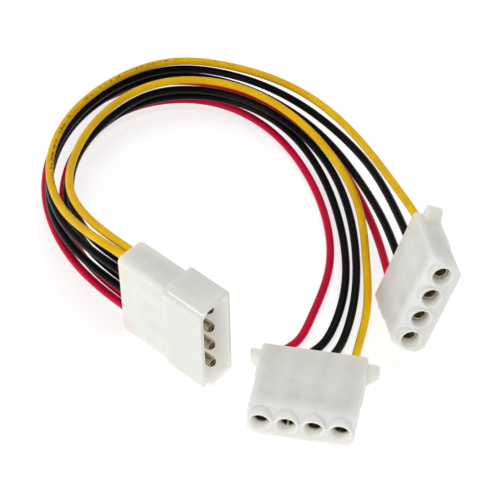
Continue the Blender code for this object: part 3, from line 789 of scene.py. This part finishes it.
def plug_housing():
    """Socket plug: thinner nose, two ears, a sloped front with four round bore ends."""
    outline = d_outline(PLUG_W, PLUG_T, PLUG_CHAMFER, PLUG_CHAMFER, PLUG_FLAT_CHAMFER)
    nose = d_outline(NOSE_W, NOSE_T, PLUG_CHAMFER, PLUG_CHAMFER, PLUG_FLAT_CHAMFER, PLUG_INSET_T)
    rings = [(SILO_PROUD, nose), (PLUG_NOSE, nose), (PLUG_NOSE + STEP_RAMP, outline), (PLUG_LEN, outline)]
    body = stepped("plug", rings, "Y", EDGE)
    for side in (-1.0, 1.0):
        combine(body, plug_ear(side), "UNION")
    top = PLUG_INSET_T + NOSE_T
    fall = SCALLOP_DEPTH * (1.0 + OVERSHOOT / SCALLOP_BACK)
    scallop = [
        (SILO_PROUD - OVERSHOOT, top - fall),
        (SILO_PROUD + SCALLOP_BACK, top),
        (SILO_PROUD + SCALLOP_BACK, top + OVERSHOOT),
        (SILO_PROUD - OVERSHOOT, top + OVERSHOOT),
    ]
    combine(body, slab("wedge", scallop, "X", -PLUG_W, PLUG_W), "DIFFERENCE")
    silo = [(0.0, 0.0), *rounded(0.0, SILO_R, SILO_RIM, -1.0), (SILO_BACK, SILO_R), (SILO_BACK, 0.0)]
    for x in ROWS:
        combine(body, turned("silo", silo, (x, AXIS_Z), "Y"), "UNION")
    for x in ROWS:
        combine(body, plug_bore(x), "DIFFERENCE")
    return body


def socket_terminal(x, recess, seam_below):
    """Rolled open barrel with a seam, a neck, two lances and a crimp round the wire."""
    end = PLUG_LEN - WIRE_IN - WIRE_END_GAP
    barrel_end = recess + SOCKET_LEN
    barrel_floor = barrel_end - BARREL_FLOOR
    lance_at = LEDGE_AT + LEDGE_LEN + GAP + recess - min(PLUG_A_RECESS, PLUG_B_RECESS)
    neck_end = lance_at + LANCE_LEN + SOCKET_WALL
    profile = [
        (barrel_floor, 0.0), (barrel_floor, SOCKET_BORE_R), *rounded(recess, SOCKET_BORE_R, SOCKET_RIM_IN),
        *rounded(recess, SOCKET_R, SOCKET_RIM_OUT, -1.0), *rounded(barrel_end, SOCKET_R, BARREL_BACK, -1.0),
        (barrel_end + SOCKET_WALL, NECK_R), (neck_end, NECK_R), (neck_end + BARREL_FLOOR, CRIMP_R),
        *rounded(end, CRIMP_R, CRIMP_BACK, -1.0), (end, 0.0),
    ]
    socket = turned("socket", profile, (x, AXIS_Z), "Y", TERMINAL_STEPS)
    half = SOCKET_SLOT / 2.0
    front = recess - OVERSHOOT
    back = barrel_end - SOCKET_SEAM_SHORT
    seam = [(x - half, front), (x + half, front), (x + half, back), (x - half, back)]
    far = SOCKET_R + OVERSHOOT
    low, high = (AXIS_Z - far, AXIS_Z) if seam_below else (AXIS_Z, AXIS_Z + far)
    combine(socket, slab("seam", seam, "Z", low, high), "DIFFERENCE")
    reach = REAR_R - GAP - LANCE_PLAY
    low = AXIS_Z - LANCE_THICK / 2.0
    for side in (-1.0, 1.0):
        lance = [
            (x + side * LANCE_ROOT, lance_at), (x + side * reach, lance_at),
            (x + side * reach, lance_at + LANCE_TIP), (x + side * LANCE_FOOT, lance_at + LANCE_LEN),
            (x + side * LANCE_ROOT, lance_at + LANCE_LEN),
        ]
        combine(socket, slab("lance", lance, "Z", low, low + LANCE_THICK), "UNION")
    return socket


def upright(width, thick, cut_w, cut_t, flat_cut, low):
    """The connector outline stood on its narrow edge: thickness along Y, width along Z."""
    return [(v, u + INPUT_W / 2.0) for u, v in d_outline(width, thick, cut_w, cut_t, flat_cut, low)]


def input_bore(z):
    """Room for one pin: the rear chamber and the hole through the floor."""
    floor = INPUT_LEN - CAVITY_DEPTH
    hole = PIN_R + GAP
    front = floor + OVERSHOOT
    profile = [
        (-OVERSHOOT, 0.0), (-OVERSHOOT, CHAMBER_R + CHAMBER_LIP[0][1]), *rounded(0.0, CHAMBER_R, CHAMBER_LIP),
        (floor - FLOOR_T, CHAMBER_R), (floor - FLOOR_T, hole), *rounded(floor, hole, FLOOR_LIP),
        (front, hole + FLOOR_LIP[-1][1]), (front, 0.0),
    ]
    return turned("bore", profile, (PIN_Y, z), "X")


def input_housing():
    """Pin connector: a body with a cut rear edge, and a wider shroud round its mouth."""
    width = INPUT_W - 2.0 * BODY_INSET_W
    thick = INPUT_T - BODY_NEAR - BODY_FAR
    joint = INPUT_LEN - SHROUD_LEN
    outline = upright(width, thick, BODY_CHAMFER, BODY_CHAMFER, BODY_FLAT_CHAMFER, BODY_NEAR)
    body = slab("input", outline, "X", 0.0, joint + SHROUD_OVER / 2.0, EDGE)
    far = BODY_NEAR + thick
    cut = [
        (-CUT_OVER, far - BODY_REAR_CUT - CUT_OVER), (BODY_REAR_CUT + CUT_OVER, far + CUT_OVER),
        (-CUT_OVER, far + CUT_OVER),
    ]
    combine(body, slab("rear_cut", cut, "Z", -OVERSHOOT, INPUT_W + OVERSHOOT), "DIFFERENCE")
    outline = upright(INPUT_W, INPUT_T, SHROUD_CHAMFER_W, SHROUD_CHAMFER_T, SHROUD_FLAT_CHAMFER, 0.0)
    combine(body, slab("shroud", outline, "X", joint, INPUT_LEN, SOFT_EDGE), "UNION")
    floor = INPUT_LEN - CAVITY_DEPTH
    outline = upright(CAVITY_W, CAVITY_T, PLUG_CHAMFER, PLUG_CHAMFER, PLUG_FLAT_CHAMFER, WALL_T)
    combine(body, slab("cavity", outline, "X", floor, INPUT_LEN + OVERSHOOT, CAVITY_EDGE), "DIFFERENCE")
    for z in INPUT_ROWS:
        combine(body, input_bore(z), "DIFFERENCE")
    return body


def pin_terminal(z):
    """Rolled pin with a tapered open tip and a seam, on a collar, with a crimp for a pair of wires."""
    tip = INPUT_LEN - PIN_RECESS
    tip_floor = tip - TIP_HOLE_DEPTH
    stop = INPUT_LEN - CAVITY_DEPTH - FLOOR_T - GAP
    crimp_at = WIRE_IN + GAP
    crimp_end = crimp_at + CRIMP_LEN
    neck = crimp_end - COLLAR_RAMP
    collar = stop - COLLAR_LEN
    profile = [
        (neck, 0.0), (neck, NECK_R), (collar - COLLAR_RAMP, NECK_R), (collar, COLLAR_R), (stop, COLLAR_R),
        (stop, PIN_R), *rounded(tip, PIN_R, PIN_TIP, -1.0), (tip, TIP_HOLE_R), (tip_floor, TIP_HOLE_END_R),
        (tip_floor, 0.0),
    ]
    pin = turned("pin", profile, (PIN_Y, z), "X", TERMINAL_STEPS)
    half = PIN_SEAM / 2.0
    start = stop + PIN_SEAM_START
    over = OVERSHOOT / 2.0
    seam = [
        (tip + over, PIN_Y - half), (tip + over, PIN_Y + half),
        (start, PIN_Y + half), (start, PIN_Y - half),
    ]
    combine(pin, slab("seam", seam, "Z", z + PIN_R - PIN_SEAM_DEPTH, z + PIN_R + over), "DIFFERENCE")
    reach = WIRE_PAIR / 2.0 + CRIMP_WALL
    near = reach - CRIMP_CORNER
    wings = [
        (-reach, -CRIMP_SHOULDER), (-near, -CRIMP_RISE), (near, -CRIMP_RISE), (reach, -CRIMP_SHOULDER),
        (reach, CRIMP_SHOULDER), (near, CRIMP_RISE), (0.0, CRIMP_RISE - CRIMP_CURL), (-near, CRIMP_RISE),
        (-reach, CRIMP_SHOULDER),
    ]
    outline = [(PIN_Y + across, z + up) for across, up in wings]
    combine(pin, slab("crimp", outline, "X", crimp_at, crimp_end, CRIMP_EDGE, 2), "UNION")
    return pin


def smooth_path(points, step):
    """Even points on a natural cubic curve through the route."""
    pts = np.array(points)
    run = np.concatenate([[0.0], np.cumsum(np.linalg.norm(np.diff(pts, axis=0), axis=1))])
    n = len(run)
    mat = np.eye(n)
    rhs = np.zeros((n, 3))
    for i in range(1, n - 1):
        h0 = run[i] - run[i - 1]
        h1 = run[i + 1] - run[i]
        mat[i, i - 1] = h0
        mat[i, i] = 2.0 * (h0 + h1)
        mat[i, i + 1] = h1
        rhs[i] = 6.0 * ((pts[i + 1] - pts[i]) / h1 - (pts[i] - pts[i - 1]) / h0)
    bend = np.linalg.solve(mat, rhs)
    fine = []
    for s in np.linspace(0.0, run[-1], ROUTE_SAMPLES):
        i = min(int(np.searchsorted(run, s, side="right")) - 1, n - 2)
        h = run[i + 1] - run[i]
        a = (run[i + 1] - s) / h
        b = (s - run[i]) / h
        curl = ((a ** 3 - a) * bend[i] + (b ** 3 - b) * bend[i + 1]) * h * h / 6.0
        fine.append(a * pts[i] + b * pts[i + 1] + curl)
    fine = np.array(fine)
    run = np.concatenate([[0.0], np.cumsum(np.linalg.norm(np.diff(fine, axis=0), axis=1))])
    count = max(int(round(run[-1] / step)), 4) + 1
    marks = np.linspace(0.0, run[-1], count)
    return np.column_stack([np.interp(marks, run, fine[:, k]) for k in range(3)])


def add_wire(name, material, slot):
    """One free wire on its route, from its crimp in the pin connector to its crimp in a plug."""
    plug, colour = name.split("_", 2)[1:]
    way = COLOURS.index(colour)
    side = -1.0 if plug == "b" else 1.0
    y = PIN_Y + side * WIRE_PAIR / 2.0
    z = INPUT_ROWS[way]
    at_input = pose_matrix(INPUT_POSE)
    at_plug = pose_matrix(PLUG_A_POSE if plug == "a" else PLUG_B_POSE)
    start = [at_input @ (Vector((x, y, z)) * MM) for x in (WIRE_IN, WIRE_LEAD_NEAR, -WIRE_LEAD)]
    leads = (PLUG_LEN - WIRE_IN + PLUG_LEAD, PLUG_LEN - WIRE_IN)
    end = [at_plug @ (Vector((ROWS[way], v, AXIS_Z)) * MM) for v in leads]
    points = smooth_path([tuple(p) for p in start] + ROUTES[name] + [tuple(p) for p in end], FINE_STEP)
    curve = bpy.data.curves.new(name + "_sleeve", "CURVE")
    curve.dimensions = "3D"
    curve.bevel_depth = WIRE_OD / 2.0 * MM
    curve.bevel_resolution = 6
    curve.use_fill_caps = True
    spline = curve.splines.new("POLY")
    spline.points.add(len(points) - 1)
    for spot, co in zip(spline.points, points):
        spot.co = (*co, 1.0)
    spline.use_smooth = True
    curve.materials.append(material)
    obj = bpy.data.objects.new(name + "_sleeve", curve)
    bpy.context.scene.collection.objects.link(obj)
    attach(obj, "root")
    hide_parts(name)


def add_wires(clouds):
    """Eight wires. Only the outer yellow one shows its print."""
    yellow = sleeve("yellow_sleeve", clouds, YELLOW_PLASTIC, 0.38, 0.12)
    printed = sleeve("yellow_printed", clouds, YELLOW_PLASTIC, 0.38, 0.12, print_marks)
    black = sleeve("black_sleeve", clouds, BLACK_PLASTIC, 0.30, 0.10)
    red = sleeve("red_sleeve", clouds, RED_PLASTIC, 0.34, 0.12)
    looks = {"yellow": yellow, "black_1": black, "black_2": black, "red": red}
    for plug in ("a", "b"):
        for colour in COLOURS:
            name = "wire_" + plug + "_" + colour
            look = printed if name == "wire_b_yellow" else looks[colour]
            add_wire(name, look, colour.split("_")[0] + "_sleeve")


def add_connectors(clouds, scratches):
    """The pin connector with its four pins, and the two plugs with four sockets each."""
    # The last number is the strength of each finish's painted glow; the two plug finishes differ only in it
    flat_skin = nylon("nylon_flat_plug", clouds, scratches, plug_shadows, plug_tints_and_light, plug_painted_glow, 0.10)
    tipped_skin = nylon("nylon_tipped_plug", clouds, scratches, plug_shadows, plug_tints_and_light, plug_painted_glow, 0.02)
    input_skin = nylon("nylon_input", clouds, scratches, input_shadows, input_tints_and_shade, input_painted_glow, 0.14)
    socket_metal = brass("socket_plating", clouds, *SOCKET_METAL)
    # Painted light: the tipped plug's sockets get a brighter copy of the same plating
    lit_socket_metal = brass("socket_plating_lit", clouds, *SOCKET_METAL_LIT)
    pin_metal = brass("pin_plating", clouds, *PIN_METAL, pin_dark_tip_and_underside)
    at_input = pose_matrix(INPUT_POSE)
    settle(input_housing(), at_input, input_skin, "input_housing")
    for colour, z in zip(COLOURS, INPUT_ROWS):
        settle(pin_terminal(z), at_input, pin_metal, "input_pin_" + colour)
    plugs = (
        ("plug_a", PLUG_A_POSE, PLUG_A_RECESS, flat_skin, socket_metal),
        ("plug_b", PLUG_B_POSE, PLUG_B_RECESS, tipped_skin, lit_socket_metal),
    )
    for plug, pose, recess, skin, metal in plugs:
        at_plug = pose_matrix(pose)
        settle(plug_housing(), at_plug, skin, plug + "_housing")
        for colour, x in zip(COLOURS, ROWS):
            seam_below = plug == "plug_a" and colour == "black_2"
            piece = socket_terminal(x, recess, seam_below)
            settle(piece, at_plug, metal, plug + "_socket_" + colour)


def add_camera():
    """The photograph's view."""
    lens = bpy.data.cameras.new("view_camera")
    lens.sensor_width = SENSOR
    lens.lens = LENS
    lens.clip_start = 0.01
    lens.clip_end = 20.0
    cam = bpy.data.objects.new("view_camera", lens)
    bpy.context.scene.collection.objects.link(cam)
    tilt = Matrix.Rotation(math.radians(90.0 - CAMERA_DOWN), 4, "X")
    roll = Matrix.Rotation(math.radians(CAMERA_ROLL), 4, "Z")
    cam.matrix_world = Matrix.Translation(CAMERA_AT) @ tilt @ roll
    bpy.context.scene.camera = cam


def add_floor():
    """White paper under the cable, with a little even light of its own."""
    bm = bmesh.new()
    bmesh.ops.create_grid(bm, x_segments=1, y_segments=1, size=3.0)
    floor = as_object("floor", bm)
    mat, sh, skin = new_material("paper_floor")
    grain = sh.noise(sh.add("TexCoord").outputs["Object"], 900.0, 3.0, 0.6)
    sh.feed(skin, "Base Color", sh.blend(grain, *PAPER))
    skin.inputs["Roughness"].default_value = 0.85
    skin.inputs["Emission Color"].default_value = WHITE
    skin.inputs["Emission Strength"].default_value = PAPER_GLOW
    floor.data.materials.append(mat)


def add_light():
    """Even white surroundings and two square light boxes, shown in plain colours without a film curve."""
    scene = bpy.context.scene
    scene.view_settings.view_transform = "Standard"
    scene.world = bpy.data.worlds.new("studio")
    scene.world.use_nodes = True
    sky = scene.world.node_tree.nodes["Background"]
    sky.inputs["Color"].default_value = WHITE
    sky.inputs["Strength"].default_value = SKY_STRENGTH
    for name, spot, size, power in LIGHT_BOXES:
        lamp = bpy.data.lights.new(name, "AREA")
        lamp.shape = "SQUARE"
        lamp.size = size
        lamp.energy = power
        obj = bpy.data.objects.new(name, lamp)
        obj.location = spot
        obj.rotation_euler = (Vector(LIGHT_AIM) - Vector(spot)).to_track_quat("-Z", "Y").to_euler()
        scene.collection.objects.link(obj)


def main():
    """Build the dressed cable."""
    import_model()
    add_camera()
    clouds = cloudy_group()
    scratches = scratch_group()
    add_wires(clouds)
    add_connectors(clouds, scratches)
    add_floor()
    add_light()


main()
